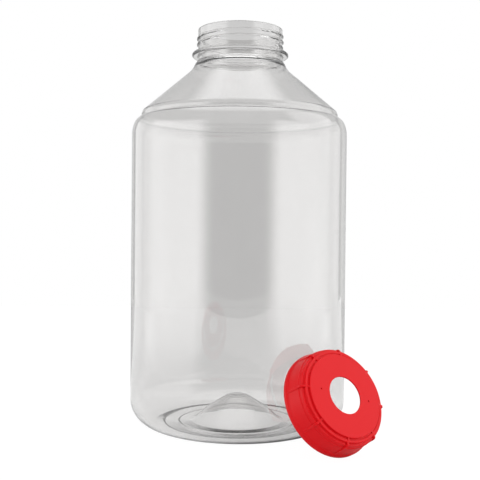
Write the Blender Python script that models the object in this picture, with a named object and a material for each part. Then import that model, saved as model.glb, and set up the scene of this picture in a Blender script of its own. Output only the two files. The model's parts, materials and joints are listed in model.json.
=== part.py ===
"""Wide-mouth fermenter: a clear blow-moulded jar with its red screw lid taken off.

The lid stands on the floor on the lower edge of its flange and leans back against the
jar's wall. Its sealing gasket is inside it, under the lid's seating land. Sizes are in
metres and +Z is up. The origin is on the floor, under the middle of the pair's box.

Round pieces are turned about their axis from outlines, which are lists of (radius, height).
"""

import math

import bmesh
import bpy
from mathutils import Matrix, Vector

# Between pieces that touch on the real object, and how deep a fin or thread is rooted
TOUCH_GAP = 0.0003
ROOT_DEPTH = 0.0008

# Jar: overall
JAR_HEIGHT = 0.5295
BODY_RADIUS = 0.144
BODY_WALL = 0.0012
JAR_SEGMENTS = 48

# Jar: base, from the middle outwards
BASE_WALL = 0.0018
PUSH_UP_RADIUS = 0.062
PUSH_UP_HEIGHT = 0.0345
PANEL_RISE = 0.0026
FOOT_INNER_RADIUS = 0.0795
FOOT_OUTER_RADIUS = 0.0975
FOOT_EDGE = 0.0012
GROOVE_DEPTH = 0.0018
GROOVE_WIDTH = 0.0032
HEEL_RADIUS = 0.035
HEEL_LIFT = 0.0004

# Jar: shoulder, step and cone, from the body upwards
SHOULDER_WIDTH = 0.0115
SHOULDER_HEIGHT = 0.023
SHOULDER_ARC = math.radians(86)
STEP_HEIGHT = 0.0099
STEP_INSET = 0.013
STEP_GROOVE = 0.0024
CONE_HEIGHT = 0.0527
CONE_WALL = 0.0014

# Jar: neck, from the cone upwards
NECK_RADIUS = 0.0568
NECK_WALL = 0.0032
FLARE_WIDTH = 0.0098
FLARE_HEIGHT = 0.0145
THROAT_STEP = 0.0008
THROAT_HEIGHT = 0.009
BEAD_WIDTH = 0.0081
BEAD_THICKNESS = 0.0048
FINISH_HEIGHT = 0.034
RIM_EDGE = 0.0005
BORE_RADIUS = NECK_RADIUS - NECK_WALL
THROAT_RADIUS = NECK_RADIUS + THROAT_STEP
BEAD_RADIUS = NECK_RADIUS + BEAD_WIDTH

# Jar: the thread on the neck
THREAD_PITCH = 0.0075
THREAD_HEIGHT = 0.0016
THREAD_FOOT = 0.0034
THREAD_TIP = 0.0012
JAR_THREAD_TURNS = 2.25
JAR_THREAD_DROP = 0.0079
JAR_THREAD_PHASE = math.radians(45)
THREAD_FADE = math.radians(60)

# Lid: inside. Drops are depths below its face
LID_HEIGHT = 0.0342
LID_SEGMENTS = 64
PANEL_THICKNESS = 0.0018
SCREW_CLEARANCE = 0.0005
SEAT_STEP = 0.0017
SEAT_DROP = 0.0115
LAND_WIDTH = 0.0064
LAND_DROP = 0.0066
SKIRT_BORE_DROP = 0.0155
LIP_WALL = 0.002
LIP_SLOPE = 0.0036
SKIRT_BORE_RADIUS = NECK_RADIUS + THREAD_HEIGHT + SCREW_CLEARANCE
SEAT_RADIUS = SKIRT_BORE_RADIUS - SEAT_STEP
LAND_INNER_RADIUS = SEAT_RADIUS - LAND_WIDTH

# Lid: outside, with the walls over its seat and its bore
HOLE_RADIUS = 0.0224
PANEL_EDGE = 0.0005
EDGE_ROUND = 0.0004
TREAD_WALL = 0.0008
TREAD_WIDTH = 0.0026
TREAD_DROP = 0.0049
TREAD_ROUND = 0.0006
LEDGE_WIDTH = 0.0028
LEDGE_DROP = 0.0021
LEDGE_GROOVE_WIDTH = 0.0022
LEDGE_GROOVE_DROP = 0.0026
CREASE_WALL = 0.0017
CREASE_DROP = 0.0094
CREASE_HEIGHT = 0.001
SKIRT_TOP_WALL = 0.0009
SKIRT_FOOT_WALL = 0.0021
SKIRT_FOOT_RISE = 0.006
FLANGE_WIDTH = 0.0022
FLANGE_LENGTH = 0.0042
TREAD_RADIUS = SEAT_RADIUS + TREAD_WALL
LEDGE_OUTER_RADIUS = TREAD_RADIUS - TREAD_WIDTH
LEDGE_INNER_RADIUS = LEDGE_OUTER_RADIUS - LEDGE_WIDTH
PANEL_RADIUS = LEDGE_INNER_RADIUS - LEDGE_GROOVE_WIDTH
CREASE_RADIUS = SEAT_RADIUS + CREASE_WALL
SKIRT_TOP_RADIUS = SKIRT_BORE_RADIUS + SKIRT_TOP_WALL
SKIRT_RADIUS = SKIRT_BORE_RADIUS + SKIRT_FOOT_WALL
FLANGE_RADIUS = SKIRT_RADIUS + FLANGE_WIDTH
SKIRT_FOOT_DROP = LID_HEIGHT - FLANGE_LENGTH - SKIRT_FOOT_RISE

# Lid: fins, which stand out of the skirt, and thread
FIN_COUNT = 8
FIN_THICKNESS = 0.0022
FIN_TOP_REACH = 0.002
FIN_FOOT_REACH = 0.0015
FIN_CORNER_WIDTH = 0.0043
FIN_CORNER_HEIGHT = 0.0049
FIN_DROP = 0.0004
FIN_SLOPE_DROP = 0.0021
FIN_PHASE = math.radians(25.3)
LID_THREAD_TURNS = 1.25
LID_THREAD_DROP = 0.0168
LID_THREAD_HEIGHT = 0.0017

# Gasket
GASKET_THICKNESS = 0.002
GASKET_WIDTH = 0.0054
GASKET_EDGE = 0.0003

# How the lid leans: its face looks up by LEAN_ANGLE, away from the jar towards LEAN_SIDE
LEAN_ANGLE = math.radians(29.9)
LEAN_SIDE = math.radians(-52.5)

# Outlines in shares of the sizes that they follow
PUSH_UP_SHARES = (
    (0.0, 1.0),
    (0.14, 1.0),
    (0.225, 0.955),
    (0.365, 0.80),
    (0.635, 0.495),
    (0.795, 0.24),
    (0.91, 0.07),
    (1.0, 0.0),
)
STEP_SHARES = (
    (-0.17, 0.93),
    (-0.88, 0.82),
    (-1.0, 0.68),
    (-0.58, 0.54),
    (-0.04, 0.39),
    (0.0, 0.24),
    (-0.21, 0.11),
    (-0.75, 0.0),
)
FLARE_SHARES = ((1.0, 1.0), (0.66, 0.69), (0.47, 0.46), (0.37, 0.30), (0.19, 0.13), (0.0, 0.0))
LIP_SHARES = ((0.15, 0.4), (0.5, 0.75), (1.0, 1.0))
HEEL_STEPS = 8
SHOULDER_STEPS = 6
BEAD_STEPS = 6
CORNER_STEPS = 4
EDGE_STEPS = 2


def clear_scene():
    """Removes what the scene already holds."""
    for thing in list(bpy.data.objects):
        bpy.data.objects.remove(thing, do_unlink=True)


def material(name, colour, roughness, metallic=0.0, transmission=0.0):
    """A Principled material with one colour."""
    made = bpy.data.materials.new(name)
    made.use_nodes = True
    shader = made.node_tree.nodes["Principled BSDF"]
    shader.inputs["Base Color"].default_value = (*colour, 1.0)
    shader.inputs["Roughness"].default_value = roughness
    shader.inputs["Metallic"].default_value = metallic
    shader.inputs["Transmission Weight"].default_value = transmission
    made.diffuse_color = (*colour, 1.0 - transmission / 2)
    return made


def arc(centre, across, up, start, end, steps):
    """Points of an ellipse's arc about centre, from the start angle to the end angle."""
    turns = (start + (end - start) * n / steps for n in range(steps + 1))
    return [(centre[0] + across * math.cos(a), centre[1] + up * math.sin(a)) for a in turns]


def base_outline():
    """The jar's outside from the axis to the top of the heel, as (radius, height, wall)."""
    panel = [
        (PUSH_UP_RADIUS * out, PANEL_RISE + PUSH_UP_HEIGHT * up, BASE_WALL)
        for out, up in PUSH_UP_SHARES
    ]
    heel_start = BODY_RADIUS - HEEL_RADIUS
    foot = [
        (FOOT_INNER_RADIUS - FOOT_EDGE, PANEL_RISE, BASE_WALL),
        (FOOT_INNER_RADIUS, 0.0, BASE_WALL),
        (FOOT_OUTER_RADIUS, 0.0, BASE_WALL),
        (FOOT_OUTER_RADIUS + FOOT_EDGE, GROOVE_DEPTH, BASE_WALL),
        (FOOT_OUTER_RADIUS + GROOVE_WIDTH, GROOVE_DEPTH - HEEL_LIFT, BASE_WALL),
    ]
    centre = (heel_start, HEEL_RADIUS + HEEL_LIFT)
    curve = arc(centre, HEEL_RADIUS, HEEL_RADIUS, -math.pi / 2, 0.0, HEEL_STEPS)
    thinning = (BASE_WALL - BODY_WALL) / HEEL_STEPS
    heel = [(r, z, BASE_WALL - thinning * n) for n, (r, z) in enumerate(curve)]
    return panel + foot + heel


def shoulder_outline():
    """The jar's outside from the body's top to the top of the flare below the bead."""
    flare_top = JAR_HEIGHT - FINISH_HEIGHT - THROAT_HEIGHT
    cone_top = flare_top - FLARE_HEIGHT
    cone_foot = cone_top - CONE_HEIGHT
    step_foot = cone_foot - STEP_HEIGHT
    middle = (
        BODY_RADIUS - SHOULDER_WIDTH,
        step_foot - SHOULDER_HEIGHT * math.sin(SHOULDER_ARC),
    )
    curve = arc(middle, SHOULDER_WIDTH, SHOULDER_HEIGHT, 0.0, SHOULDER_ARC, SHOULDER_STEPS)
    shoulder = [(r, z, BODY_WALL) for r, z in curve]
    edge = BODY_RADIUS - STEP_INSET
    step = [
        (edge + STEP_GROOVE * out, cone_foot - STEP_HEIGHT * down, CONE_WALL)
        for out, down in STEP_SHARES
    ]
    flare = [
        (THROAT_RADIUS + FLARE_WIDTH * out, flare_top - FLARE_HEIGHT * down, CONE_WALL)
        for out, down in FLARE_SHARES
    ]
    return shoulder + step + flare


def finish_outline():
    """The neck's outside from the throat up over the bead to the rim, then down the bore."""
    bead = JAR_HEIGHT - FINISH_HEIGHT
    half = BEAD_THICKNESS / 2
    edge = arc((BEAD_RADIUS - half, bead), half, half, -math.pi / 2, math.pi / 2, BEAD_STEPS)
    neck = [
        (THROAT_RADIUS, bead - half - RIM_EDGE),
        (THROAT_RADIUS + RIM_EDGE, bead - half),
        *edge,
        (NECK_RADIUS + RIM_EDGE, bead + half),
        (NECK_RADIUS, bead + half + RIM_EDGE),
        (NECK_RADIUS, JAR_HEIGHT - RIM_EDGE),
        (NECK_RADIUS - RIM_EDGE, JAR_HEIGHT),
        (BORE_RADIUS + RIM_EDGE, JAR_HEIGHT),
        (BORE_RADIUS, JAR_HEIGHT - RIM_EDGE),
        (BORE_RADIUS, bead - THROAT_HEIGHT),
    ]
    return neck


def inside_of(outline):
    """The wall's inner surface for an outline of (radius, height, wall) that runs from the
    axis outwards and up, in the same order."""
    inner = []
    for n, (radius, height, wall) in enumerate(outline):
        before = outline[max(n - 1, 0)]
        after = outline[min(n + 1, len(outline) - 1)]
        along = Vector((after[0] - before[0], after[1] - before[1])).normalized()
        inner.append((max(radius - along.y * wall, 0.0), height + along.x * wall))
    return inner


def turned(name, outline, segments, closed_loop):
    """An object whose outline is turned about its local Z. A closed loop never meets the axis,
    and an open outline starts and ends on it."""
    mesh = bmesh.new()
    rings = []
    for radius, height in outline:
        if radius == 0:
            rings.append([mesh.verts.new((0, 0, height))] * segments)
            continue
        angles = (2 * math.pi * n / segments for n in range(segments))
        rings.append(
            [mesh.verts.new((radius * math.cos(a), radius * math.sin(a), height)) for a in angles]
        )
    following = rings[1:] + rings[:1] if closed_loop else rings[1:]
    for lower, upper in zip(rings, following, strict=False):
        for n in range(segments):
            m = (n + 1) % segments
            corners = dict.fromkeys((lower[n], lower[m], upper[m], upper[n]))
            mesh.faces.new(list(corners))
    return finished(name, mesh)


def finished(name, mesh):
    """Links a bmesh as a smooth-shaded object with its faces pointing out."""
    bmesh.ops.recalc_face_normals(mesh, faces=mesh.faces)
    data = bpy.data.meshes.new(name)
    mesh.to_mesh(data)
    mesh.free()
    data.shade_smooth()
    data.set_sharp_from_angle(angle=math.radians(30))
    made = bpy.data.objects.new(name, data)
    bpy.context.scene.collection.objects.link(made)
    return made


def screw_thread(name, wall, height, turns, top, phase, segments):
    """A right-hand thread rooted in a wall. A positive height stands out of the wall and a
    negative one into its bore. It climbs to the height top at the angle phase and fades out
    into the wall at both ends."""
    mesh = bmesh.new()
    step = 2 * math.pi / segments
    count = round(2 * math.pi * turns / step)
    inwards = math.copysign(ROOT_DEPTH, height)
    sections = []
    for n in range(count + 1):
        back = (count - n) * step
        rise = min(1.0, n * step / THREAD_FADE, (count - n) * step / THREAD_FADE)
        tip = wall - inwards / 2 + (height + inwards / 2) * rise
        middle = top - THREAD_PITCH * back / (2 * math.pi)
        across = ((wall - inwards, THREAD_FOOT), (tip, THREAD_TIP))
        points = [(r, middle - w / 2) for r, w in across]
        points += [(r, middle + w / 2) for r, w in reversed(across)]
        angle = phase - back
        sections.append(
            [mesh.verts.new((r * math.cos(angle), r * math.sin(angle), z)) for r, z in points]
        )
    for first, second in zip(sections, sections[1:], strict=False):
        for a in range(len(first)):
            b = (a + 1) % len(first)
            mesh.faces.new((first[a], first[b], second[b], second[a]))
    mesh.faces.new(sections[0])
    mesh.faces.new(reversed(sections[-1]))
    return finished(name, mesh)


def join(target, addition):
    """Unites an addition with its target, and keeps it as a hidden guide."""
    addition.hide_render = True
    addition.display_type = "WIRE"
    union = target.modifiers.new(addition.name, "BOOLEAN")
    union.operation = "UNION"
    union.solver = "EXACT"
    union.object = addition


def make_jar():
    """The blow-moulded jar, with the thread on its neck."""
    body = base_outline() + shoulder_outline()
    outside = [(r, z) for r, z, _ in body]
    # The bore runs down past the throat, so the cone's inside ends half-way up the flare.
    followed = len(body) - len(FLARE_SHARES) // 2
    inside = inside_of(body[:followed])
    outline = outside + finish_outline() + inside[::-1]
    jar = turned("jar", outline, JAR_SEGMENTS, closed_loop=False)
    thread = screw_thread(
        "jar_thread",
        NECK_RADIUS,
        THREAD_HEIGHT,
        JAR_THREAD_TURNS,
        JAR_HEIGHT - JAR_THREAD_DROP,
        JAR_THREAD_PHASE,
        JAR_SEGMENTS,
    )
    join(jar, thread)
    return jar, thread


def lid_outline():
    """The lid's outside from its hole over the face and down the skirt, as (radius, height)."""
    rim = (PANEL_RADIUS - PANEL_EDGE, -PANEL_EDGE)
    corner = (TREAD_RADIUS - TREAD_ROUND, -TREAD_DROP - TREAD_ROUND)
    return [
        (HOLE_RADIUS, -EDGE_ROUND),
        (HOLE_RADIUS + EDGE_ROUND, 0.0),
        *arc(rim, PANEL_EDGE, PANEL_EDGE, math.pi / 2, 0.0, EDGE_STEPS),
        (PANEL_RADIUS + EDGE_ROUND, -LEDGE_GROOVE_DROP),
        (LEDGE_INNER_RADIUS - EDGE_ROUND, -LEDGE_GROOVE_DROP),
        (LEDGE_INNER_RADIUS, -LEDGE_DROP),
        (LEDGE_OUTER_RADIUS - EDGE_ROUND, -LEDGE_DROP),
        (LEDGE_OUTER_RADIUS, -LEDGE_DROP - EDGE_ROUND),
        (LEDGE_OUTER_RADIUS + EDGE_ROUND, -TREAD_DROP),
        *arc(corner, TREAD_ROUND, TREAD_ROUND, math.pi / 2, 0.0, EDGE_STEPS),
        (CREASE_RADIUS, -CREASE_DROP),
        (SKIRT_TOP_RADIUS, -CREASE_DROP - CREASE_HEIGHT),
        (SKIRT_RADIUS, -SKIRT_FOOT_DROP),
        *[
            (
                SKIRT_RADIUS + (FLANGE_RADIUS - SKIRT_RADIUS) * out,
                -SKIRT_FOOT_DROP - SKIRT_FOOT_RISE * down,
            )
            for out, down in LIP_SHARES
        ],
        (FLANGE_RADIUS, EDGE_ROUND - LID_HEIGHT),
        (FLANGE_RADIUS - EDGE_ROUND, -LID_HEIGHT),
    ]


def lid_inside():
    """The lid's inside from the open end up the skirt to the seating land and the hole."""
    mouth = FLANGE_RADIUS - LIP_WALL
    return [
        (mouth, -LID_HEIGHT),
        (mouth, FLANGE_LENGTH / 2 - LID_HEIGHT),
        (SKIRT_BORE_RADIUS, FLANGE_LENGTH / 2 + LIP_SLOPE - LID_HEIGHT),
        (SKIRT_BORE_RADIUS, -SKIRT_BORE_DROP),
        (SEAT_RADIUS, -SEAT_DROP),
        (SEAT_RADIUS, -LAND_DROP),
        (LAND_INNER_RADIUS, -LAND_DROP),
        (LAND_INNER_RADIUS - EDGE_ROUND, -PANEL_THICKNESS),
        (HOLE_RADIUS, -PANEL_THICKNESS),
    ]


def fin_outline():
    """One fin's outline, from its start under the panel's edge over the shoulder and down the
    skirt to the flange, and back inside the wall, as (radius, height)."""
    foot = FLANGE_LENGTH + EDGE_ROUND - LID_HEIGHT
    corner = (
        SKIRT_TOP_RADIUS + FIN_TOP_REACH - FIN_CORNER_WIDTH,
        -FIN_SLOPE_DROP - FIN_CORNER_HEIGHT,
    )
    return [
        (PANEL_RADIUS - ROOT_DEPTH, -FIN_DROP),
        *arc(corner, FIN_CORNER_WIDTH, FIN_CORNER_HEIGHT, math.pi / 2, 0.0, CORNER_STEPS),
        (SKIRT_RADIUS + FIN_FOOT_REACH, foot),
        (SKIRT_RADIUS - ROOT_DEPTH, foot),
        (SKIRT_RADIUS - ROOT_DEPTH, -SKIRT_FOOT_DROP),
        (SKIRT_TOP_RADIUS - ROOT_DEPTH, -CREASE_DROP - CREASE_HEIGHT),
        (TREAD_RADIUS - ROOT_DEPTH / 2, -TREAD_DROP - ROOT_DEPTH),
        (LEDGE_OUTER_RADIUS - EDGE_ROUND, -TREAD_DROP - ROOT_DEPTH),
        (LEDGE_INNER_RADIUS, -LEDGE_GROOVE_DROP - ROOT_DEPTH),
        (PANEL_RADIUS - ROOT_DEPTH, -LEDGE_GROOVE_DROP - ROOT_DEPTH),
    ]


def make_fins():
    """The ring of grip fins, as one guide of separate prisms."""
    mesh = bmesh.new()
    outline = fin_outline()
    for n in range(FIN_COUNT):
        spin = Matrix.Rotation(2 * math.pi * n / FIN_COUNT, 3, "Z")
        sides = [
            [mesh.verts.new(spin @ Vector((r, side * FIN_THICKNESS / 2, z))) for r, z in outline]
            for side in (-1, 1)
        ]
        for a in range(len(outline)):
            b = (a + 1) % len(outline)
            mesh.faces.new((sides[0][a], sides[0][b], sides[1][b], sides[1][a]))
        mesh.faces.new(sides[0])
        mesh.faces.new(reversed(sides[1]))
    return finished("lid_fins", mesh)


def make_lid():
    """The lid with its fins and its inner thread, about its own axis with its face at zero."""
    lid = turned("lid", lid_outline() + lid_inside(), LID_SEGMENTS, closed_loop=True)
    fins = make_fins()
    thread = screw_thread(
        "lid_thread",
        SKIRT_BORE_RADIUS,
        -LID_THREAD_HEIGHT,
        LID_THREAD_TURNS,
        -LID_THREAD_DROP,
        0.0,
        LID_SEGMENTS,
    )
    join(lid, fins)
    join(lid, thread)
    return lid, fins, thread


def make_gasket():
    """The flat sealing ring under the lid's land, about the lid's axis."""
    outer = SEAT_RADIUS - TOUCH_GAP
    inner = outer - GASKET_WIDTH
    top = -LAND_DROP - TOUCH_GAP
    bottom = top - GASKET_THICKNESS
    outline = [
        (inner, top),
        (outer - GASKET_EDGE, top),
        (outer, top - GASKET_EDGE),
        (outer, bottom + GASKET_EDGE),
        (outer - GASKET_EDGE, bottom),
        (inner, bottom),
    ]
    return turned("gasket", outline, LID_SEGMENTS, closed_loop=True)


def leaning_frame():
    """The lid's place against a jar that stands on the origin: the floor carries the lower
    edge of its flange, and the wall the upper edge. The local Z is the lid's axis."""
    away = Vector((math.cos(LEAN_SIDE), math.sin(LEAN_SIDE), 0))
    axis = away * math.cos(LEAN_ANGLE) + Vector((0, 0, math.sin(LEAN_ANGLE)))
    level = Vector((-away.y, away.x, 0))
    upslope = axis.cross(level)
    distance = BODY_RADIUS + TOUCH_GAP + FLANGE_RADIUS * math.sin(LEAN_ANGLE)
    flange = away * distance
    flange.z = TOUCH_GAP + FLANGE_RADIUS * math.cos(LEAN_ANGLE)
    turn = Matrix((level, upslope, axis)).transposed()
    return Matrix.Translation(flange + axis * LID_HEIGHT) @ turn.to_4x4()


def lid_reach(frame, direction):
    """How far the leaning lid reaches along a direction, over its turned outline."""
    axis = frame.to_3x3().col[2]
    lean = axis.dot(direction)
    spread = math.sqrt(1 - lean * lean)
    start = frame.translation.dot(direction)
    return max(start + z * lean + r * spread for r, z in lid_outline() + fin_outline())


def stand(name, frame, pieces):
    """An empty at a frame that carries pieces modelled about their own axis."""
    carrier = bpy.data.objects.new(name, None)
    bpy.context.scene.collection.objects.link(carrier)
    carrier.matrix_world = frame
    for piece in pieces:
        piece.parent = carrier


def main():
    clear_scene()
    jar, jar_thread = make_jar()
    lid, fins, lid_thread = make_lid()
    gasket = make_gasket()
    jar.data.materials.append(material("clear_plastic", (0.92, 0.93, 0.94), 0.05, transmission=0.9))
    lid.data.materials.append(material("red_plastic", (0.80, 0.02, 0.03), 0.35))
    gasket.data.materials.append(material("seal", (0.82, 0.82, 0.80), 0.6))

    # The origin is under the middle of the box that holds the jar and the leaning lid.
    lean = leaning_frame()
    middle = Vector(
        (
            (lid_reach(lean, Vector((1, 0, 0))) - BODY_RADIUS) / 2,
            (BODY_RADIUS - lid_reach(lean, Vector((0, -1, 0)))) / 2,
            0,
        )
    )
    jar_axis = Matrix.Translation(-middle)
    stand("jar_axis", jar_axis, (jar, jar_thread))
    spin = Matrix.Rotation(FIN_PHASE, 4, "Z")
    stand("lid_axis", jar_axis @ lean @ spin, (lid, fins, lid_thread, gasket))


main()
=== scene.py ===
"""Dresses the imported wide-mouth fermenter: a clear blow-moulded jar, its finned red screw lid
and the gasket inside the lid.

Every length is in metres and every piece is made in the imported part's own frame. Outlines are
lists of points (radius, height) about a piece's own axis. The lid's heights are drops below
its face.
"""

import json
import logging
import math
from dataclasses import dataclass
from enum import Enum
from itertools import pairwise

import bpy
from mathutils import Matrix, Vector

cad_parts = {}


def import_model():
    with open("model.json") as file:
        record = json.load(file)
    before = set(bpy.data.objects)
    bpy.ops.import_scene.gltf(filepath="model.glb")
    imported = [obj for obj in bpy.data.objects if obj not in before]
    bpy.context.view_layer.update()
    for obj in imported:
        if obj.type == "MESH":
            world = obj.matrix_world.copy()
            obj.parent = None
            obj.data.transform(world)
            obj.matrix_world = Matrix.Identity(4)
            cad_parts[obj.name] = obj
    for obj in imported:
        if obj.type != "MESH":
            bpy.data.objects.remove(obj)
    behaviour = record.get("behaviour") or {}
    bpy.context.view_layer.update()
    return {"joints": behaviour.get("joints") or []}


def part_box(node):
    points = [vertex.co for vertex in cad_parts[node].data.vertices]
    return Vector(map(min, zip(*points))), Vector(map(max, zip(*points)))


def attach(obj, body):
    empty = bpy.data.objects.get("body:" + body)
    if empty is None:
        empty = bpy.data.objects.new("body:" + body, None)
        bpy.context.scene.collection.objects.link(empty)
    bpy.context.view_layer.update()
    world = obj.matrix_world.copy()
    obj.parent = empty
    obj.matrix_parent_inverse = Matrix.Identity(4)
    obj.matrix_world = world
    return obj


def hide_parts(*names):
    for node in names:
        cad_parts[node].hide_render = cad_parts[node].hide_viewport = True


LOG = logging.getLogger("fermenter")
PHOTO_PIXELS = 480
MERGE_DISTANCE = 0.000005
FULL_TURN = 2 * math.pi
QUARTER_TURN = math.pi / 2
WHITE = (1.0, 1.0, 1.0, 1.0)

# Rounded corners: the most of a leg that an arc takes, the least turn that gets an arc, and
# the most turn between two of its points
LEG_SHARE = 0.48
LEAST_TURN = math.radians(1)
MOST_TURN = math.radians(9)

# The moulded skin's noise, and how much finer its bumps are than its sheen
SHEEN_DETAIL = 3
BUMP_DETAIL = 2
BUMP_FINENESS = 14

# A ray's Glossy Depth is a whole number, so a half parts no mirroring from any
MIRRORED_DEPTH = 0.5

Point = tuple[float, float]


@dataclass(frozen=True)
class Corner:
    """One corner of an outline, with the radius that rounds it and the wall behind it."""

    radius: float
    height: float
    fillet: float = 0.0
    wall: float = 0.0


class Operation(Enum):
    """What a Boolean does with its tool."""

    UNION = "UNION"
    DIFFERENCE = "DIFFERENCE"


def arc(centre: Point, across: float, up: float, start: float, end: float, steps: int) -> list[Point]:
    """Gives points on an ellipse's arc.

    Args:
        centre: The ellipse's centre.
        across: Its half-width along the radius.
        up: Its half-height.
        start: The first point's angle, in radians.
        end: The last point's angle.
        steps: The number of equal steps.

    Returns:
        The points from start to end.
    """
    turns = (start + (end - start) * n / steps for n in range(steps + 1))
    return [(centre[0] + across * math.cos(a), centre[1] + up * math.sin(a)) for a in turns]


def rounded(corners: list[Corner], closed: bool = False) -> list[Point]:
    """Rounds each corner of an outline with an arc that touches both of its legs.

    Args:
        corners: The outline's corners in order.
        closed: Whether the last corner joins the first.

    Returns:
        The rounded outline.
    """
    outline: list[Point] = []
    count = len(corners)
    for n, corner in enumerate(corners):
        here = Vector((corner.radius, corner.height))
        if corner.fillet == 0 or (not closed and n in (0, count - 1)):
            outline.append((here.x, here.y))
            continue
        before = corners[n - 1]
        after = corners[(n + 1) % count]
        back = Vector((before.radius, before.height)) - here
        ahead = Vector((after.radius, after.height)) - here
        turn = math.pi - back.angle(ahead)
        if turn < LEAST_TURN:
            outline.append((here.x, here.y))
            continue
        leg = min(corner.fillet * math.tan(turn / 2), LEG_SHARE * min(back.length, ahead.length))
        steps = max(1, math.ceil(turn / MOST_TURN))
        start = here + back.normalized() * leg
        end = here + ahead.normalized() * leg
        radius = leg / math.tan(turn / 2)
        inwards = (back.normalized() + ahead.normalized()).normalized()
        middle = here + inwards * (radius / math.cos(turn / 2))
        first = start - middle
        side = 1.0 if first.x * (end - middle).y - first.y * (end - middle).x > 0 else -1.0
        for k in range(steps + 1):
            swing = side * turn * k / steps
            spoke = Vector(
                (
                    first.x * math.cos(swing) - first.y * math.sin(swing),
                    first.x * math.sin(swing) + first.y * math.cos(swing),
                )
            )
            outline.append((middle.x + spoke.x, middle.y + spoke.y))
    return outline


def deselect_all() -> None:
    """Leaves edit mode and deselects everything, because operators act on what is selected."""
    if bpy.context.object and bpy.context.object.mode != "OBJECT":
        bpy.ops.object.mode_set(mode="OBJECT")
    bpy.ops.object.select_all(action="DESELECT")


def activate(piece: bpy.types.Object) -> None:
    """Selects one piece alone and makes it active."""
    deselect_all()
    piece.select_set(True)
    bpy.context.view_layer.objects.active = piece


def drawn(name: str, outline: list[Point], closed: bool = False) -> bpy.types.Object:
    """Draws an outline in the XZ plane by extruding a corner from point to point.

    Args:
        name: The piece's name.
        outline: The outline's points.
        closed: Whether the last point joins the first.

    Returns:
        The piece, in edit mode and selected all over.
    """
    deselect_all()
    bpy.ops.mesh.primitive_plane_add(size=MERGE_DISTANCE, location=(0, 0, 0))
    piece = bpy.context.object
    piece.name = name
    piece.data.name = name
    bpy.ops.object.mode_set(mode="EDIT")
    bpy.ops.mesh.select_all(action="SELECT")
    bpy.ops.mesh.merge(type="CENTER")
    bpy.ops.transform.translate(value=(outline[0][0], 0, outline[0][1]))
    route = outline + outline[:1] if closed else outline
    for here, there in pairwise(route):
        step = (there[0] - here[0], 0, there[1] - here[1])
        bpy.ops.mesh.extrude_region_move(TRANSFORM_OT_translate={"value": step})
    bpy.ops.mesh.select_all(action="SELECT")
    bpy.ops.mesh.remove_doubles(threshold=MERGE_DISTANCE)
    bpy.ops.mesh.select_all(action="SELECT")
    return piece


def spun(name: str, outline: list[Point], segments: int, closed: bool = False) -> bpy.types.Object:
    """Turns an outline about Z.

    Args:
        name: The piece's name.
        outline: The outline's points.
        segments: The number of steps round the axis.
        closed: Whether the outline closes on itself and never meets the axis.

    Returns:
        The turned piece, with its faces pointing out.
    """
    piece = drawn(name, outline, closed)
    bpy.ops.mesh.spin(steps=segments, angle=FULL_TURN, center=(0, 0, 0), axis=(0, 0, 1))
    bpy.ops.mesh.select_all(action="SELECT")
    bpy.ops.mesh.remove_doubles(threshold=MERGE_DISTANCE)
    bpy.ops.mesh.normals_make_consistent(inside=False)
    bpy.ops.object.mode_set(mode="OBJECT")
    return piece


def combine(piece: bpy.types.Object, tool: bpy.types.Object, operation: Operation) -> None:
    """Applies a Boolean with a tool to a piece, and removes the tool.

    Args:
        piece: The piece that is changed.
        tool: The closed mesh to add or cut away.
        operation: What to do with it.
    """
    activate(piece)
    modifier = piece.modifiers.new(operation.value, "BOOLEAN")
    modifier.operation = operation.value
    modifier.solver = "EXACT"
    modifier.object = tool
    bpy.ops.object.modifier_apply(modifier=modifier.name)
    bpy.data.objects.remove(tool)


def smooth(piece: bpy.types.Object, sharp_angle: float) -> None:
    """Shades a piece smooth up to the given angle, and lets large flat faces keep their shade."""
    activate(piece)
    bpy.ops.object.shade_smooth_by_angle(angle=sharp_angle)
    weighted = piece.modifiers.new("flat_faces_first", "WEIGHTED_NORMAL")
    weighted.keep_sharp = True
    bpy.ops.object.modifier_apply(modifier=weighted.name)


def set_down(piece: bpy.types.Object, place: Matrix) -> None:
    """Moves a piece that was made about its own axis to its place, held in its mesh."""
    activate(piece)
    piece.matrix_world = place
    bpy.ops.object.transform_apply(location=True, rotation=True, scale=True)


@dataclass(frozen=True)
class Thread:
    """A right-hand screw thread on a round wall, whose ends fade into it. Neck and lid share
    its pitch and its widths at foot and tip."""

    height: float
    turns: float
    top: float
    phase: float
    pitch: float = 0.0075
    foot: float = 0.0034
    tip: float = 0.0012
    fade: float = math.radians(60)

    def rise(self, angle: float, height: float) -> float:
        """Gives how far the thread stands out of its wall.

        Args:
            angle: The place round the axis, in radians.
            height: The place along the axis.

        Returns:
            The distance from the wall, zero between the turns.
        """
        back = (self.phase - angle) % FULL_TURN
        length = FULL_TURN * self.turns
        found = 0.0
        while back <= length:
            away = abs(height - self.top + self.pitch * back / FULL_TURN)
            flank = (self.foot / 2 - away) / ((self.foot - self.tip) / 2)
            ends = min(1.0, back / self.fade, (length - back) / self.fade)
            share = max(0.0, min(1.0, flank))
            found = max(found, self.height * ends * share * share * (3 - 2 * share))
            back += FULL_TURN
        return found


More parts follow.
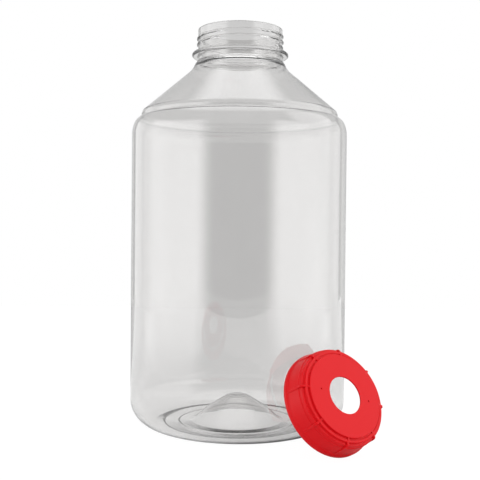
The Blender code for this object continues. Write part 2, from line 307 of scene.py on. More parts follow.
@dataclass
class Jar:
    """The clear blow-moulded jar: pushed-up base, body, shoulder, cone and threaded neck."""

    place: Matrix
    height: float = 0.5295
    body_radius: float = 0.144
    body_wall: float = 0.0008
    base_wall: float = 0.0015
    cone_wall: float = 0.0009
    push_up_radius: float = 0.062
    push_up_height: float = 0.0345
    panel_rise: float = 0.0026
    foot_inner_radius: float = 0.0795
    foot_outer_radius: float = 0.0975
    foot_edge: float = 0.0016
    groove_depth: float = 0.0018
    groove_width: float = 0.0032
    heel_radius: float = 0.035
    heel_lift: float = 0.0004
    heel_steps: int = 24
    shoulder_width: float = 0.0115
    shoulder_height: float = 0.023
    shoulder_arc: float = math.radians(70)
    shoulder_steps: int = 18
    step_height: float = 0.0105
    step_inset: float = 0.0122
    step_groove: float = 0.0015
    step_round: float = 0.005
    cone_height: float = 0.0537
    flare_width: float = 0.0098
    flare_height: float = 0.0145
    flare_round: float = 0.006
    throat_radius: float = 0.0576
    throat_height: float = 0.009
    bead_radius: float = 0.0649
    bead_thickness: float = 0.0048
    finish_height: float = 0.034
    neck_radius: float = 0.0568
    bore_radius: float = 0.0536
    rim_edge: float = 0.0007
    thread_height: float = 0.0016
    thread_turns: float = 2.25
    thread_drop: float = 0.0079
    thread_phase: float = math.radians(45)
    ring_spacing: float = 0.0004
    segments: int = 192
    sharp_angle: float = math.radians(40)

    # Each point's place out and up, as shares of the push-up's size, and its rounding in metres
    PUSH_UP_SHARES = (
        (0.14, 1.0, 0.006),
        (0.225, 0.955, 0.004),
        (0.365, 0.80, 0.02),
        (0.635, 0.495, 0.03),
        (0.795, 0.24, 0.02),
        (0.91, 0.07, 0.012),
        (1.0, 0.0, 0.008),
    )
    # How many corners base_corners gives the foot
    FOOT_CORNERS = 5
    STEP_SHARES = ((-0.4, 0.867), (0.0, 0.38), (-1.0, 0.0))
    FLARE_SHARES = ((1.0, 1.0), (0.66, 0.69), (0.47, 0.46), (0.37, 0.30), (0.19, 0.13), (0.0, 0.0))

    def base_corners(self) -> list[Corner]:
        """Gives the base's corners from the middle outwards to the top of the heel."""
        wall = self.base_wall
        middle = Corner(0.0, self.panel_rise + self.push_up_height, 0.0, wall)
        hill = [
            Corner(self.push_up_radius * out, self.panel_rise + self.push_up_height * up, fillet, wall)
            for out, up, fillet in self.PUSH_UP_SHARES
        ]
        edge = self.foot_edge
        inner, outer = self.foot_inner_radius, self.foot_outer_radius
        foot = [
            Corner(inner - edge, self.panel_rise, edge, wall),
            Corner(inner, 0.0, edge / 2, wall),
            Corner(outer, 0.0, edge / 2, wall),
            Corner(outer + edge, self.groove_depth, edge / 2, wall),
            Corner(outer + self.groove_width, self.groove_depth - self.heel_lift, edge, wall),
        ]
        centre = (self.body_radius - self.heel_radius, self.heel_radius + self.heel_lift)
        curve = arc(centre, self.heel_radius, self.heel_radius, -QUARTER_TURN, 0.0, self.heel_steps)
        thinning = (wall - self.body_wall) / len(curve)
        heel = [Corner(r, z, 0.0, wall - thinning * n) for n, (r, z) in enumerate(curve)]
        return [middle, *hill, *foot, *heel]

    def shoulder_corners(self) -> list[Corner]:
        """Gives the corners from the body's top over shoulder, step and cone to the throat."""
        flare_top = self.height - self.finish_height - self.throat_height
        cone_foot = flare_top - self.flare_height - self.cone_height
        step_foot = cone_foot - self.step_height
        reach = self.shoulder_height * math.sin(self.shoulder_arc)
        middle = (self.body_radius - self.shoulder_width, step_foot - reach)
        across, up = self.shoulder_width, self.shoulder_height
        curve = arc(middle, across, up, 0.0, self.shoulder_arc, self.shoulder_steps)
        shoulder = [Corner(r, z, 0.0, self.body_wall) for r, z in curve]
        edge = self.body_radius - self.step_inset
        step = [
            Corner(
                edge + self.step_groove * out,
                cone_foot - self.step_height * down,
                self.step_round,
                self.cone_wall,
            )
            for out, down in self.STEP_SHARES
        ]
        flare = [
            Corner(
                self.throat_radius + self.flare_width * out,
                flare_top - self.flare_height * down,
                self.flare_round,
                self.cone_wall,
            )
            for out, down in self.FLARE_SHARES
        ]
        return shoulder + step + flare

    def finish_corners(self) -> list[Corner]:
        """Gives the neck's corners from the throat over the bead to the rim and down the bore."""
        bead = self.height - self.finish_height
        half = self.bead_thickness / 2
        edge = self.rim_edge
        bead_round = half * LEG_SHARE * 2
        return [
            Corner(self.throat_radius, bead - half, edge),
            Corner(self.bead_radius, bead - half, bead_round),
            Corner(self.bead_radius, bead + half, bead_round),
            Corner(self.neck_radius, bead + half, edge),
            *[Corner(self.neck_radius, z) for z in self.neck_rings()],
            Corner(self.neck_radius, self.height, edge),
            Corner(self.bore_radius, self.height, edge),
            Corner(self.bore_radius, bead - self.throat_height),
        ]

    def neck_rings(self) -> list[float]:
        """Gives the heights of the close rings on which the neck's thread is raised."""
        low = self.height - self.finish_height + self.bead_thickness
        high = self.height - self.bead_thickness / 2
        count = round((high - low) / self.ring_spacing)
        return [low + (high - low) * n / count for n in range(count + 1)]

    def inner_corners(self, outer: list[Corner]) -> list[Corner]:
        """Gives the inner surface's corners, one wall inside the outer ones. It passes over the
        foot without its steps, because only the outside was pressed into the mould.

        Args:
            outer: The outer corners, from the axis outwards and up.

        Returns:
            The inner corners in the same order.
        """
        inner = []
        for n, corner in enumerate(outer):
            before = outer[max(n - 1, 0)]
            after = outer[min(n + 1, len(outer) - 1)]
            along = Vector((after.radius - before.radius, after.height - before.height)).normalized()
            radius = max(corner.radius - along.y * corner.wall, 0.0)
            inner.append(Corner(radius, corner.height + along.x * corner.wall, corner.fillet))
        first = len(self.PUSH_UP_SHARES) + 1
        return inner[:first] + inner[first + self.FOOT_CORNERS :]

    def thread(self) -> Thread:
        """Gives the neck's thread."""
        top = self.height - self.thread_drop
        return Thread(self.thread_height, self.thread_turns, top, self.thread_phase)

    def build(self) -> bpy.types.Object:
        """Turns the jar's shell in one piece and raises the thread on its neck.

        Returns:
            The jar in its place.
        """
        outer = self.base_corners() + self.shoulder_corners()
        # The bore runs down past the throat, so the cone's inside ends half-way up the flare.
        followed = len(outer) - len(self.FLARE_SHARES) // 2
        inner = rounded(self.inner_corners(outer[:followed]))
        outline = rounded(outer + self.finish_corners()) + inner[::-1]
        shell = spun("jar_shell", outline, self.segments)
        thread = self.thread()
        low, high = self.neck_rings()[0], self.neck_rings()[-1]
        for vertex in shell.data.vertices:
            x, y, z = vertex.co
            if low <= z <= high and math.hypot(x, y) > self.neck_radius - MERGE_DISTANCE:
                out = thread.rise(math.atan2(y, x), z) / self.neck_radius
                vertex.co = (x * (1 + out), y * (1 + out), z)
        smooth(shell, self.sharp_angle)
        set_down(shell, self.place)
        return shell


@dataclass
class Lid:
    """The red screw lid: flat face with a stopper hole, stepped shoulder, fins and skirt."""

    place: Matrix
    height: float = 0.0342
    hole_radius: float = 0.0224
    panel_radius: float = 0.0504
    panel_thickness: float = 0.0018
    groove_drop: float = 0.0026
    ledge_inner_radius: float = 0.0526
    ledge_outer_radius: float = 0.0554
    ledge_drop: float = 0.0021
    tread_drop: float = 0.0049
    tread_radius: float = 0.0585
    crease_radius: float = 0.0589
    crease_drop: float = 0.0094
    crease_height: float = 0.001
    skirt_top_radius: float = 0.0598
    skirt_radius: float = 0.061
    skirt_foot_drop: float = 0.024
    flange_radius: float = 0.0632
    flange_length: float = 0.0042
    edge_round: float = 0.0005
    land_drop: float = 0.0066
    land_inner_radius: float = 0.0489
    seat_radius: float = 0.0572
    seat_drop: float = 0.0115
    bore_radius: float = 0.0589
    bore_drop: float = 0.0155
    lip_wall: float = 0.002
    lip_drop: float = 0.0285
    fin_count: int = 8
    fin_thickness: float = 0.0026
    fin_edge: float = 0.0006
    fin_edge_segments: int = 3
    fin_edge_angle: float = math.radians(40)
    fin_top_reach: float = 0.001
    fin_foot_reach: float = 0.0009
    fin_corner_width: float = 0.0048
    fin_corner_height: float = 0.0049
    fin_corner_steps: int = 10
    fin_drop: float = 0.0004
    fin_slope_drop: float = 0.0026
    fin_phase: float = math.radians(25.3)
    root_depth: float = 0.0008
    dot_radius: float = 0.0011
    dot_reach: float = 0.0347
    dot_depth: float = 0.0012
    dot_sides: int = 24
    thread_height: float = 0.0017
    thread_turns: float = 1.25
    thread_drop: float = 0.0168
    thread_phase: float = 0.0
    ring_spacing: float = 0.0005
    segments: int = 192
    sharp_angle: float = math.radians(35)

    LIP_SHARES = ((0.15, 0.4), (0.5, 0.75), (1.0, 1.0))
    DOT_ANGLES = (math.radians(160), math.radians(-20))

    def outer_corners(self) -> list[Corner]:
        """Gives the outside's corners from the hole over the face and down the skirt."""
        edge = self.edge_round
        face_margin = edge * 3
        flange_top = self.height - self.flange_length
        lip = [
            Corner(
                self.skirt_radius + (self.flange_radius - self.skirt_radius) * out,
                -self.skirt_foot_drop - (flange_top - self.skirt_foot_drop) * down,
                edge * 2,
            )
            for out, down in self.LIP_SHARES
        ]
        return [
            Corner(self.hole_radius, 0.0, edge),
            Corner(self.hole_radius + face_margin, 0.0),
            Corner(self.panel_radius - face_margin, 0.0),
            Corner(self.panel_radius, 0.0, edge),
            Corner(self.panel_radius + edge / 2, -self.groove_drop, edge / 2),
            Corner(self.ledge_inner_radius - edge, -self.groove_drop, edge / 2),
            Corner(self.ledge_inner_radius, -self.ledge_drop, edge / 2),
            Corner(self.ledge_outer_radius, -self.ledge_drop, edge),
            Corner(self.ledge_outer_radius + edge / 2, -self.tread_drop, edge),
            Corner(self.tread_radius, -self.tread_drop, edge * 2),
            Corner(self.crease_radius, -self.crease_drop, edge),
            Corner(self.skirt_top_radius, -self.crease_drop - self.crease_height, edge),
            Corner(self.skirt_radius, -self.skirt_foot_drop, edge * 4),
            *lip,
            Corner(self.flange_radius, -self.height, edge),
        ]

    def inner_corners(self) -> list[Corner]:
        """Gives the inside's corners from the open end up to the land and the hole."""
        edge = self.edge_round
        mouth = self.flange_radius - self.lip_wall
        return [
            Corner(mouth, -self.height, edge),
            Corner(mouth, self.flange_length / 2 - self.height, edge),
            Corner(self.bore_radius, -self.lip_drop, edge),
            *[Corner(self.bore_radius, z) for z in self.bore_rings()],
            Corner(self.bore_radius, -self.bore_drop, edge),
            Corner(self.seat_radius, -self.seat_drop, edge),
            Corner(self.seat_radius, -self.land_drop, edge / 2),
            Corner(self.land_inner_radius, -self.land_drop, edge / 2),
            Corner(self.land_inner_radius - edge, -self.panel_thickness, edge),
            Corner(self.hole_radius, -self.panel_thickness, edge),
        ]

    def bore_rings(self) -> list[float]:
        """Gives the heights of the close rings on which the inner thread is raised."""
        clear = self.edge_round * 2
        low, high = -self.lip_drop + clear, -self.bore_drop - clear
        count = round((high - low) / self.ring_spacing)
        return [low + (high - low) * n / count for n in range(count + 1)]

    def thread(self) -> Thread:
        """Gives the thread inside the skirt."""
        return Thread(self.thread_height, self.thread_turns, -self.thread_drop, self.thread_phase)

    def fin_outline(self) -> list[Point]:
        """Gives one fin's outline, over the shoulder, down the skirt and back in the wall."""
        foot = self.flange_length + self.edge_round - self.height
        root = self.root_depth
        corner = (
            self.skirt_top_radius + self.fin_top_reach - self.fin_corner_width,
            -self.fin_slope_drop - self.fin_corner_height,
        )
        across, up = self.fin_corner_width, self.fin_corner_height
        return [
            (self.panel_radius - root, -self.fin_drop),
            *arc(corner, across, up, QUARTER_TURN, 0.0, self.fin_corner_steps),
            (self.skirt_radius + self.fin_foot_reach, foot),
            (self.skirt_radius - root, foot),
            (self.skirt_radius - root, -self.skirt_foot_drop),
            (self.skirt_top_radius - root, -self.crease_drop - self.crease_height),
            (self.tread_radius - root / 2, -self.tread_drop - root),
            (self.ledge_outer_radius - self.edge_round, -self.tread_drop - root),
            (self.ledge_inner_radius, -self.groove_drop - root),
            (self.panel_radius - root, -self.groove_drop - root),
        ]

    def fin(self, angle: float) -> bpy.types.Object:
        """Makes one grip fin: its outline is drawn, filled, thickened and its edges softened.

        Args:
            angle: The fin's place round the lid's axis.

        Returns:
            The fin, rooted in the lid's wall.
        """
        fin = drawn("lid_fin", self.fin_outline(), closed=True)
        bpy.ops.mesh.edge_face_add()
        bpy.ops.mesh.extrude_region_move(TRANSFORM_OT_translate={"value": (0, self.fin_thickness, 0)})
        bpy.ops.mesh.select_all(action="SELECT")
        bpy.ops.transform.translate(value=(0, -self.fin_thickness / 2, 0))
        bpy.ops.mesh.normals_make_consistent(inside=False)
        bpy.ops.object.mode_set(mode="OBJECT")
        bevel = fin.modifiers.new("soft_edges", "BEVEL")
        bevel.width = self.fin_edge
        bevel.segments = self.fin_edge_segments
        bevel.limit_method = "ANGLE"
        bevel.angle_limit = self.fin_edge_angle
        bpy.ops.object.modifier_apply(modifier=bevel.name)
        fin.matrix_world = Matrix.Rotation(angle, 4, "Z")
        bpy.ops.object.transform_apply(location=False, rotation=True, scale=False)
        return fin

    def dot(self, angle: float) -> bpy.types.Object:
        """Makes the tool for one of the small round gate marks in the face."""
        deselect_all()
        middle = (self.dot_reach * math.cos(angle), self.dot_reach * math.sin(angle), 0)
        bpy.ops.mesh.primitive_cylinder_add(
            vertices=self.dot_sides, radius=self.dot_radius, depth=self.dot_depth * 2, location=middle
        )
        return bpy.context.object

    def build(self) -> bpy.types.Object:
        """Turns the lid, raises its thread and adds its fins and marks.

        Returns:
            The lid in its place.
        """
        outline = rounded(self.outer_corners() + self.inner_corners(), closed=True)
        shell = spun("lid_shell", outline, self.segments, closed=True)
        thread = self.thread()
        low, high = self.bore_rings()[0], self.bore_rings()[-1]
        for vertex in shell.data.vertices:
            x, y, z = vertex.co
            if low <= z <= high and math.hypot(x, y) < self.bore_radius + MERGE_DISTANCE:
                inwards = thread.rise(math.atan2(y, x), z) / self.bore_radius
                vertex.co = (x * (1 - inwards), y * (1 - inwards), z)
        for n in range(self.fin_count):
            combine(shell, self.fin(self.fin_phase + FULL_TURN * n / self.fin_count), Operation.UNION)
        for angle in self.DOT_ANGLES:
            combine(shell, self.dot(angle), Operation.DIFFERENCE)
        smooth(shell, self.sharp_angle)
        set_down(shell, self.place)
        return shell


@dataclass
class Gasket:
    """The pale sealing ring under the lid's land."""

    place: Matrix
    outer_radius: float = 0.0569
    width: float = 0.0054
    thickness: float = 0.002
    top_drop: float = 0.0069
    edge_round: float = 0.0003
    segments: int = 160
    sharp_angle: float = math.radians(50)

    def build(self) -> bpy.types.Object:
        """Turns the ring.

        Returns:
            The gasket in its place.
        """
        inner = self.outer_radius - self.width
        bottom = -self.top_drop - self.thickness
        corners = [
            Corner(inner, -self.top_drop, self.edge_round),
            Corner(self.outer_radius, -self.top_drop, self.edge_round),
            Corner(self.outer_radius, bottom, self.edge_round),
            Corner(inner, bottom, self.edge_round),
        ]
        ring = spun("gasket_ring", rounded(corners, closed=True), self.segments, closed=True)
        smooth(ring, self.sharp_angle)
        set_down(ring, self.place)
        return ring


class Nodes:
    """A node tree that is written socket by socket."""

    def __init__(self, tree: bpy.types.NodeTree) -> None:
        """Keeps the tree.

        Args:
            tree: The tree of a material, a world or a group.
        """
        self.tree = tree

    def node(self, kind: str, **settings: object) -> bpy.types.Node:
        """Adds a node and sets its inputs or its own properties.

        Args:
            kind: The node's type.
            **settings: Values by input name, with underscores for spaces, or by property.

        Returns:
            The node.
        """
        made = self.tree.nodes.new(kind)
        for key, value in settings.items():
            label = key.replace("_", " ").title()
            if label in made.inputs:
                made.inputs[label].default_value = value
            else:
                setattr(made, key, value)
        return made

    def link(self, start: bpy.types.NodeSocket, end: bpy.types.NodeSocket) -> None:
        """Links two sockets."""
        self.tree.links.new(start, end)

    def math(self, operation: str, *operands: object) -> bpy.types.NodeSocket:
        """Adds one calculation.

        Args:
            operation: The Math node's operation.
            *operands: Sockets or plain numbers.

        Returns:
            The result's socket.
        """
        made = self.node("ShaderNodeMath", operation=operation)
        for n, operand in enumerate(operands):
            if isinstance(operand, bpy.types.NodeSocket):
                self.link(operand, made.inputs[n])
            else:
                made.inputs[n].default_value = operand
        return made.outputs[0]

    def ramp(self, value: bpy.types.NodeSocket, low: float, high: float) -> bpy.types.NodeSocket:
        """Adds a soft step from 0 at low to 1 at high.

        Args:
            value: The value's socket.
            low: Where the step starts.
            high: Where it ends.

        Returns:
            The step's socket.
        """
        made = self.node("ShaderNodeMapRange", from_min=low, from_max=high)
        made.interpolation_type = "SMOOTHSTEP"
        self.link(value, made.inputs["Value"])
        return made.outputs["Result"]

    def blend(self, share: bpy.types.NodeSocket, first: object, second: object) -> bpy.types.NodeSocket:
        """Mixes two numbers.

        Args:
            share: The second number's share.
            first: A socket or a plain number.
            second: A socket or a plain number.

        Returns:
            The mixed number's socket.
        """
        made = self.node("ShaderNodeMix", data_type="FLOAT")
        # A Mix node keeps its plain numbers' inputs at places 0, 2 and 3.
        self.link(share, made.inputs[0])
        for n, operand in ((2, first), (3, second)):
            if isinstance(operand, bpy.types.NodeSocket):
                self.link(operand, made.inputs[n])
            else:
                made.inputs[n].default_value = operand
        return made.outputs[0]


class Surface(Nodes):
    """A material with one Principled shader."""

    def __init__(self, name: str) -> None:
        """Starts a material.

        Args:
            name: The material's name.
        """
        self.material = bpy.data.materials.new(name)
        self.material.use_nodes = True
        super().__init__(self.material.node_tree)
        self.shader = self.tree.nodes["Principled BSDF"]
        self.output = self.tree.nodes["Material Output"]

    def set(self, **values: object) -> None:
        """Sets inputs of the Principled shader, with underscores for spaces."""
        for key, value in values.items():
            label = key.replace("_", " ").title().replace("Ior", "IOR")
            self.shader.inputs[label].default_value = value


def moulded_grain() -> bpy.types.ShaderNodeTree:
    """Builds the node group for the fine uneven skin of a moulded piece.

    Returns:
        The group, with inputs Vector, Scale, Least and Most, and outputs Roughness and Height.
    """
    group = bpy.data.node_groups.new("moulded_grain", "ShaderNodeTree")
    group.interface.new_socket(name="Vector", in_out="INPUT", socket_type="NodeSocketVector")
    for name in ("Scale", "Least", "Most"):
        group.interface.new_socket(name=name, in_out="INPUT", socket_type="NodeSocketFloat")
    for name in ("Roughness", "Height"):
        group.interface.new_socket(name=name, in_out="OUTPUT", socket_type="NodeSocketFloat")
    start = group.nodes.new("NodeGroupInput")
    end = group.nodes.new("NodeGroupOutput")
    coarse = group.nodes.new("ShaderNodeTexNoise")
    coarse.inputs["Detail"].default_value = SHEEN_DETAIL
    fine = group.nodes.new("ShaderNodeTexNoise")
    fine.inputs["Detail"].default_value = BUMP_DETAIL
    faster = group.nodes.new("ShaderNodeMath")
    faster.operation = "MULTIPLY"
    faster.inputs[1].default_value = BUMP_FINENESS
    spread = group.nodes.new("ShaderNodeMapRange")
    group.links.new(start.outputs["Vector"], coarse.inputs["Vector"])
    group.links.new(start.outputs["Vector"], fine.inputs["Vector"])
    group.links.new(start.outputs["Scale"], coarse.inputs["Scale"])
    group.links.new(start.outputs["Scale"], faster.inputs[0])
    group.links.new(faster.outputs[0], fine.inputs["Scale"])
    group.links.new(coarse.outputs["Fac"], spread.inputs["Value"])
    group.links.new(start.outputs["Least"], spread.inputs["To Min"])
    group.links.new(start.outputs["Most"], spread.inputs["To Max"])
    group.links.new(spread.outputs["Result"], end.inputs["Roughness"])
    group.links.new(fine.outputs["Fac"], end.inputs["Height"])
    return group


@dataclass(frozen=True)
class MouldedPlastic:
    """An opaque moulded plastic or rubber with a fine uneven skin."""

    name: str
    colour: tuple[float, float, float]
    least_roughness: float
    most_roughness: float
    grain_scale: float
    grain_height: float
    specular: float = 0.5
    bump_strength: float = 0.5

    def material(self, grain: bpy.types.ShaderNodeTree) -> bpy.types.Material:
        """Builds the material.

        Args:
            grain: The shared group for the uneven skin.

        Returns:
            The material.
        """
        surface = Surface(self.name)
        surface.set(base_color=(*self.colour, 1.0), specular_ior_level=self.specular)
        place = surface.node("ShaderNodeTexCoord")
        skin = surface.node("ShaderNodeGroup", node_tree=grain)
        skin.inputs["Scale"].default_value = self.grain_scale
        skin.inputs["Least"].default_value = self.least_roughness
        skin.inputs["Most"].default_value = self.most_roughness
        bump = surface.node("ShaderNodeBump", strength=self.bump_strength)
        bump.inputs["Distance"].default_value = self.grain_height
        surface.link(place.outputs["Object"], skin.inputs["Vector"])
        surface.link(skin.outputs["Roughness"], surface.shader.inputs["Roughness"])
        surface.link(skin.outputs["Height"], bump.inputs["Height"])
        surface.link(bump.outputs["Normal"], surface.shader.inputs["Normal"])
        return surface.material


@dataclass(frozen=True)
class ClearPlastic:
    """Clear blow-moulded plastic whose wall varies gently, and which lets lamps through. Above
    neck_edge it is darker, which stands for the neck's thicker wall."""

    name: str
    colour: tuple[float, float, float]
    neck_colour: tuple[float, float, float]
    neck_edge: tuple[float, float]
    ior: float
    centre: tuple[float, float]
    wave_height: float
    lamp_share: float
    stretch: tuple[float, float, float] = (1, 1, 0.22)
    grain_scale: float = 9
    least_roughness: float = 0.0
    most_roughness: float = 0.05
    wave_scale: float = 11.0
    wave_detail: float = 2.0

    def material(self, grain: bpy.types.ShaderNodeTree) -> bpy.types.Material:
        """Builds the material.

        Args:
            grain: The shared group for the uneven skin.

        Returns:
            The material.
        """
        surface = Surface(self.name)
        surface.set(ior=self.ior, transmission_weight=1.0)
        place = surface.node("ShaderNodeTexCoord")
        heights = surface.node("ShaderNodeSeparateXYZ")
        tint = surface.node("ShaderNodeMix", data_type="RGBA")
        tint.inputs["A"].default_value = (*self.colour, 1.0)
        tint.inputs["B"].default_value = (*self.neck_colour, 1.0)
        surface.link(place.outputs["Object"], heights.inputs["Vector"])
        surface.link(surface.ramp(heights.outputs["Z"], *self.neck_edge), tint.inputs["Factor"])
        surface.link(tint.outputs["Result"], surface.shader.inputs["Base Color"])
        centred = surface.node("ShaderNodeMapping", vector_type="POINT")
        centred.inputs["Location"].default_value = (-self.centre[0], -self.centre[1], 0)
        stretched = surface.node("ShaderNodeMapping", vector_type="POINT")
        stretched.inputs["Scale"].default_value = self.stretch
        skin = surface.node("ShaderNodeGroup", node_tree=grain)
        skin.inputs["Scale"].default_value = self.grain_scale
        skin.inputs["Least"].default_value = self.least_roughness
        skin.inputs["Most"].default_value = self.most_roughness
        wave = surface.node("ShaderNodeTexNoise", scale=self.wave_scale, detail=self.wave_detail)
        bump = surface.node("ShaderNodeBump", strength=1.0)
        bump.inputs["Distance"].default_value = self.wave_height
        surface.link(place.outputs["Object"], centred.inputs["Vector"])
        surface.link(centred.outputs["Vector"], stretched.inputs["Vector"])
        surface.link(stretched.outputs["Vector"], skin.inputs["Vector"])
        surface.link(stretched.outputs["Vector"], wave.inputs["Vector"])
        surface.link(wave.outputs["Fac"], bump.inputs["Height"])
        surface.link(skin.outputs["Roughness"], surface.shader.inputs["Roughness"])
        surface.link(bump.outputs["Normal"], surface.shader.inputs["Normal"])
        rays = surface.node("ShaderNodeLightPath")
        share = surface.node("ShaderNodeMath", operation="MULTIPLY")
        share.inputs[1].default_value = self.lamp_share
        clear = surface.node("ShaderNodeBsdfTransparent")
        mix = surface.node("ShaderNodeMixShader")
        surface.link(rays.outputs["Is Shadow Ray"], share.inputs[0])
        surface.link(share.outputs[0], mix.inputs["Fac"])
        surface.link(surface.shader.outputs["BSDF"], mix.inputs[1])
        surface.link(clear.outputs["BSDF"], mix.inputs[2])
        surface.link(mix.outputs["Shader"], surface.output.inputs["Surface"])
        return surface.material


@dataclass
class Studio:
    """The pale floor, the white surroundings, the soft lamp and the camera.

    A way round the jar is a number from -1, the front, to 1, the rear. An edge is the pair of
    values between which one level of light blends into the next.
    """

    axis: tuple[float, float]
    lid_spot: tuple[float, float]

    # The floor, with the levels that its mirror image shows: painted light at the sides, painted shade in
    # front, behind and close to the jar's sides, and a painted shadow round the spot where the lid rests
    floor_size: float = 3.0
    floor_roughness: float = 0.9
    floor_glow: float = 0.9
    floor_white: float = 1.07
    floor_front: float = 0.8
    floor_side: float = 2.2
    floor_rear: float = 0.68
    floor_near: float = 1.0
    near_edge: tuple[float, float] = (0.1, 1.1)
    floor_albedo: float = 0.78
    shade: float = 0.25
    shade_edge: tuple[float, float] = (0.065, 0.23)

    # The levels that show straight through the jar, with painted light that makes the floor nearly white
    # under the jar
    floor_under: float = 0.97
    under_edge: tuple[float, float] = (0.14, 0.26)
    through_jar: float = 0.82

    # Where the surroundings change, by the way round and by height
    front_edge: tuple[float, float] = (-0.90, -0.70)
    rear_edge: tuple[float, float] = (0.10, 0.42)
    gap_start: tuple[float, float] = (0.725, 0.755)
    gap_end: tuple[float, float] = (0.80, 0.84)
    gap_lean: float = 0.092
    top_edge: tuple[float, float] = (0.115, 0.16)
    side_top_edge: tuple[float, float] = (0.26, 0.42)
    overhead_edge: tuple[float, float] = (0.78, 0.92)
    least_distance: float = 0.01

    # The surroundings' levels, and the panel high on the right
    room: float = 0.08
    softbox: float = 2.2
    side_wall: float = 1.25
    gap: float = 0.5
    backdrop: float = 0.8
    upper_wall: float = 0.62
    overhead: float = 1.8
    panel: float = 1.8
    panel_way: tuple[float, float, float] = (0.869, 0.012, 0.493)
    panel_edge: tuple[float, float] = (0.85, 0.94)

    # The lamp, and the photograph's camera
    key_place: tuple[float, float, float] = (0.5, -1.6, 1.2)
    key_size: float = 1.2
    key_radiance: float = 0.15
    focal_pixels: float = 794.7
    camera_distance: float = 1.0771
    camera_height: float = 0.2654
    camera_pitch: float = math.radians(0.964)
    camera_roll: float = math.radians(0.530)
    camera_pan: float = math.radians(0.105)
    sensor_width: float = 36.0
    clip_start: float = 0.01

    def camera(self) -> None:
        """Sets up the photograph's camera."""
        deselect_all()
        bpy.ops.object.camera_add()
        camera = bpy.context.object
        camera.data.sensor_width = self.sensor_width
        camera.data.lens = self.sensor_width * self.focal_pixels / PHOTO_PIXELS
        camera.data.clip_start = self.clip_start
        place = (self.axis[0], self.axis[1] - self.camera_distance, self.camera_height)
        pan = Matrix.Rotation(-self.camera_pan, 4, "Z")
        tilt = Matrix.Rotation(QUARTER_TURN - self.camera_pitch, 4, "X")
        roll = Matrix.Rotation(self.camera_roll, 4, "Z")
        camera.matrix_world = Matrix.Translation(place) @ pan @ tilt @ roll
        bpy.context.scene.camera = camera

    def floor(self) -> None:
        """Lays the floor. It glows white to the camera and keeps a trace of shadow. Mirrored, it shows
        painted light and shade that change with the way round the jar, and a painted shadow round the
        spot where the lid rests. Straight through the jar it is pale grey, with painted light that makes
        it nearly white under the jar."""
        deselect_all()
        bpy.ops.mesh.primitive_plane_add(size=self.floor_size, location=(*self.axis, 0))
        floor = bpy.context.object
        floor.name = "studio_floor"
        surface = Surface("studio_white")
        albedo = (*[self.floor_albedo] * 3, 1.0)
        surface.set(base_color=albedo, roughness=self.floor_roughness, specular_ior_level=0.0)
        glow = surface.node("ShaderNodeEmission")
        mix = surface.node("ShaderNodeMixShader")
        rays = surface.node("ShaderNodeLightPath")
        camera = rays.outputs["Is Camera Ray"]
        mirrored = surface.math("GREATER_THAN", rays.outputs["Glossy Depth"], MIRRORED_DEPTH)
        place = surface.node("ShaderNodeTexCoord")
        spot = surface.node("ShaderNodeSeparateXYZ")
        surface.link(place.outputs["Object"], spot.inputs["Vector"])
        across = surface.math("POWER", spot.outputs["X"], 2.0)
        along = surface.math("POWER", spot.outputs["Y"], 2.0)
        distance = surface.math("SQRT", surface.math("ADD", across, along))
        divisor = surface.math("MAXIMUM", distance, self.least_distance)
        rearward = surface.math("DIVIDE", spot.outputs["Y"], divisor)
        # Painted light and shade in the mirrored floor: brighter at the sides, darker in front, behind
        # and close to the jar
        sides = surface.blend(surface.ramp(rearward, *self.front_edge), self.floor_front, self.floor_side)
        open_floor = surface.blend(surface.ramp(rearward, *self.rear_edge), sides, self.side_wall)
        open_floor = surface.blend(surface.ramp(distance, *self.near_edge), self.floor_near, open_floor)
        open_floor = surface.blend(surface.ramp(rearward, *self.gap_start), open_floor, self.floor_rear)
        # Painted shadow in the mirrored floor round the spot where the lid rests
        aside = surface.math("SUBTRACT", spot.outputs["X"], self.lid_spot[0] - self.axis[0])
        ahead = surface.math("SUBTRACT", spot.outputs["Y"], self.lid_spot[1] - self.axis[1])
        square = surface.math("ADD", surface.math("POWER", aside, 2.0), surface.math("POWER", ahead, 2.0))
        shade = surface.ramp(surface.math("SQRT", square), *self.shade_edge)
        shade = surface.blend(shade, self.shade, 1.0)
        # Painted light straight through the jar: the floor is brighter under it
        outwards = surface.ramp(distance, *self.under_edge)
        straight = surface.blend(outwards, self.floor_under, self.through_jar)
        strength = surface.blend(mirrored, straight, surface.math("MULTIPLY", open_floor, shade))
        surface.link(surface.blend(camera, strength, self.floor_white), glow.inputs["Strength"])
        seen = surface.math("SUBTRACT", 1.0, rays.outputs["Is Diffuse Ray"])
        surface.link(surface.math("MULTIPLY", seen, self.floor_glow), mix.inputs["Fac"])
        surface.link(surface.shader.outputs["BSDF"], mix.inputs[1])
        surface.link(glow.outputs["Emission"], mix.inputs[2])
        surface.link(mix.outputs["Shader"], surface.output.inputs["Surface"])
        floor.data.materials.append(surface.material)

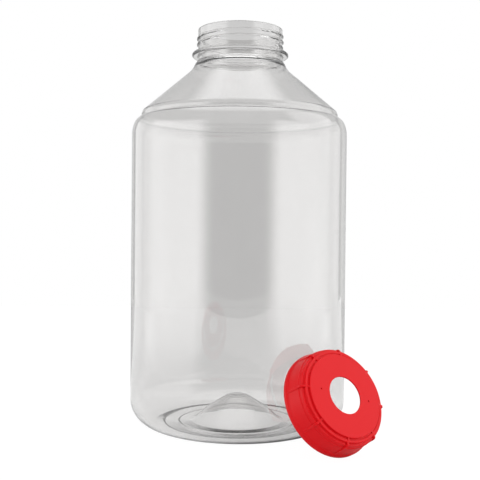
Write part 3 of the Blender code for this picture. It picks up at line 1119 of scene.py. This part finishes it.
    def surroundings(self) -> None:
        """Sets the world. The camera sees plain white. Light and reflections come from a tall
        softbox on either side, a panel high on the right, a pale backdrop between dim gaps, a
        ceiling and a dim room in front. Straight through the jar all of it is pale grey."""
        world = bpy.data.worlds.new("studio")
        world.use_nodes = True
        bpy.context.scene.world = world
        sky = Nodes(world.node_tree)
        background = sky.tree.nodes["Background"]
        background.inputs["Color"].default_value = WHITE
        place = sky.node("ShaderNodeTexCoord")
        way = sky.node("ShaderNodeSeparateXYZ")
        sky.link(place.outputs["Generated"], way.inputs["Vector"])
        level = sky.math("SQRT", sky.math("SUBTRACT", 1.0, sky.math("POWER", way.outputs["Z"], 2.0)))
        level = sky.math("MAXIMUM", level, self.least_distance)
        rearward = sky.math("DIVIDE", way.outputs["Y"], level)
        rightward = sky.math("DIVIDE", way.outputs["X"], level)
        leaning = sky.math("ADD", rearward, sky.math("MULTIPLY", rightward, self.gap_lean))
        sides = sky.blend(sky.ramp(rearward, *self.rear_edge), self.softbox, self.side_wall)
        sides = sky.blend(sky.ramp(leaning, *self.gap_start), sides, self.gap)
        sides = sky.blend(sky.ramp(leaning, *self.gap_end), sides, self.backdrop)
        sides = sky.blend(sky.ramp(way.outputs["Z"], *self.side_top_edge), sides, self.upper_wall)
        front = sky.blend(sky.ramp(way.outputs["Z"], *self.top_edge), self.room, self.upper_wall)
        walls = sky.blend(sky.ramp(rearward, *self.front_edge), front, sides)
        studio = sky.blend(sky.ramp(way.outputs["Z"], *self.overhead_edge), walls, self.overhead)
        shares = [sky.math("MULTIPLY", way.outputs[n], part) for n, part in enumerate(self.panel_way)]
        facing = sky.math("ADD", sky.math("ADD", shares[0], shares[1]), shares[2])
        studio = sky.blend(sky.ramp(facing, *self.panel_edge), studio, self.panel)
        rays = sky.node("ShaderNodeLightPath")
        straight = sky.math("LESS_THAN", rays.outputs["Glossy Depth"], MIRRORED_DEPTH)
        through = sky.math("MULTIPLY", rays.outputs["Is Transmission Ray"], straight)
        seen = sky.blend(through, studio, self.through_jar)
        strength = sky.blend(rays.outputs["Is Camera Ray"], seen, 1.0)
        sky.link(strength, background.inputs["Strength"])

    def key_lamp(self) -> None:
        """Sets up the soft lamp high on the right in front, which only lights."""
        deselect_all()
        place = Vector((self.axis[0], self.axis[1], 0)) + Vector(self.key_place)
        bpy.ops.object.light_add(type="AREA", location=place)
        lamp = bpy.context.object
        lamp.name = "key_lamp"
        lamp.data.size = self.key_size
        lamp.data.energy = self.key_radiance * math.pi * self.key_size**2
        lamp.rotation_euler = (-Vector(self.key_place)).to_track_quat("-Z", "Y").to_euler()
        lamp.visible_camera = False
        lamp.visible_glossy = False
        lamp.visible_transmission = False

    def build(self) -> None:
        """Sets up everything round the object."""
        self.camera()
        self.floor()
        self.surroundings()
        self.key_lamp()
        bpy.context.scene.view_settings.view_transform = "Standard"


def lid_place(frame: dict) -> Matrix:
    """Gives the lid's own frame, with its face at zero and its axis along Z.

    Args:
        frame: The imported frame.

    Returns:
        The frame, turned so that X is level.
    """
    joint = next(j for j in frame["joints"] if j["name"] == "lid_turn")
    axis = Vector(joint["axis"]).normalized()
    level = Vector((-axis.y, axis.x, 0)).normalized()
    turn = Matrix((level, axis.cross(level), axis)).transposed()
    return Matrix.Translation(joint["pos_m"]) @ turn.to_4x4()


def dress(
    piece: bpy.types.Object, node: str, body: str, material: bpy.types.Material
) -> None:
    """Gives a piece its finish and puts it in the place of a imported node.

    Args:
        piece: The modelled piece.
        node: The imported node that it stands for.
        body: The body that it moves with.
        material: Its finish.
    """
    piece.data.materials.clear()
    piece.data.materials.append(material)
    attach(piece, body)
    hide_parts(node)
    LOG.info("%s: %d faces, rides on %s", piece.name, len(piece.data.polygons), body)


def main() -> None:
    """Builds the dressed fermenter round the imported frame."""
    logging.basicConfig(level=logging.INFO, format="%(message)s")
    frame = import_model()
    low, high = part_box("jar")
    axis = ((low.x + high.x) / 2, (low.y + high.y) / 2)
    low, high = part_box("lid")
    Studio(axis, ((low.x + high.x) / 2, (low.y + high.y) / 2)).build()

    grain = moulded_grain()
    clear = ClearPlastic(
        name="clear_plastic",
        colour=(0.845, 0.84, 0.836),
        neck_colour=(0.74, 0.735, 0.73),
        neck_edge=(0.484, 0.494),
        ior=1.57,
        centre=axis,
        wave_height=0.0003,
        lamp_share=0.85,
    )
    red = MouldedPlastic(
        name="red_plastic",
        colour=(0.69, 0.005, 0.009),
        least_roughness=0.3,
        most_roughness=0.4,
        grain_scale=60,
        grain_height=0.00004,
        specular=0.16,
    )
    pale = MouldedPlastic(
        name="seal",
        colour=(0.82, 0.82, 0.80),
        least_roughness=0.55,
        most_roughness=0.7,
        grain_scale=220,
        grain_height=0.00005,
    )

    jar = Jar(Matrix.Translation((axis[0], axis[1], 0))).build()
    dress(jar, "jar", "jar", clear.material(grain))
    lid_frame = lid_place(frame)
    lid = Lid(lid_frame).build()
    dress(lid, "lid", "lid", red.material(grain))
    gasket = Gasket(lid_frame).build()
    dress(gasket, "gasket", "gasket", pale.material(grain))


if __name__ == "__main__":
    main()
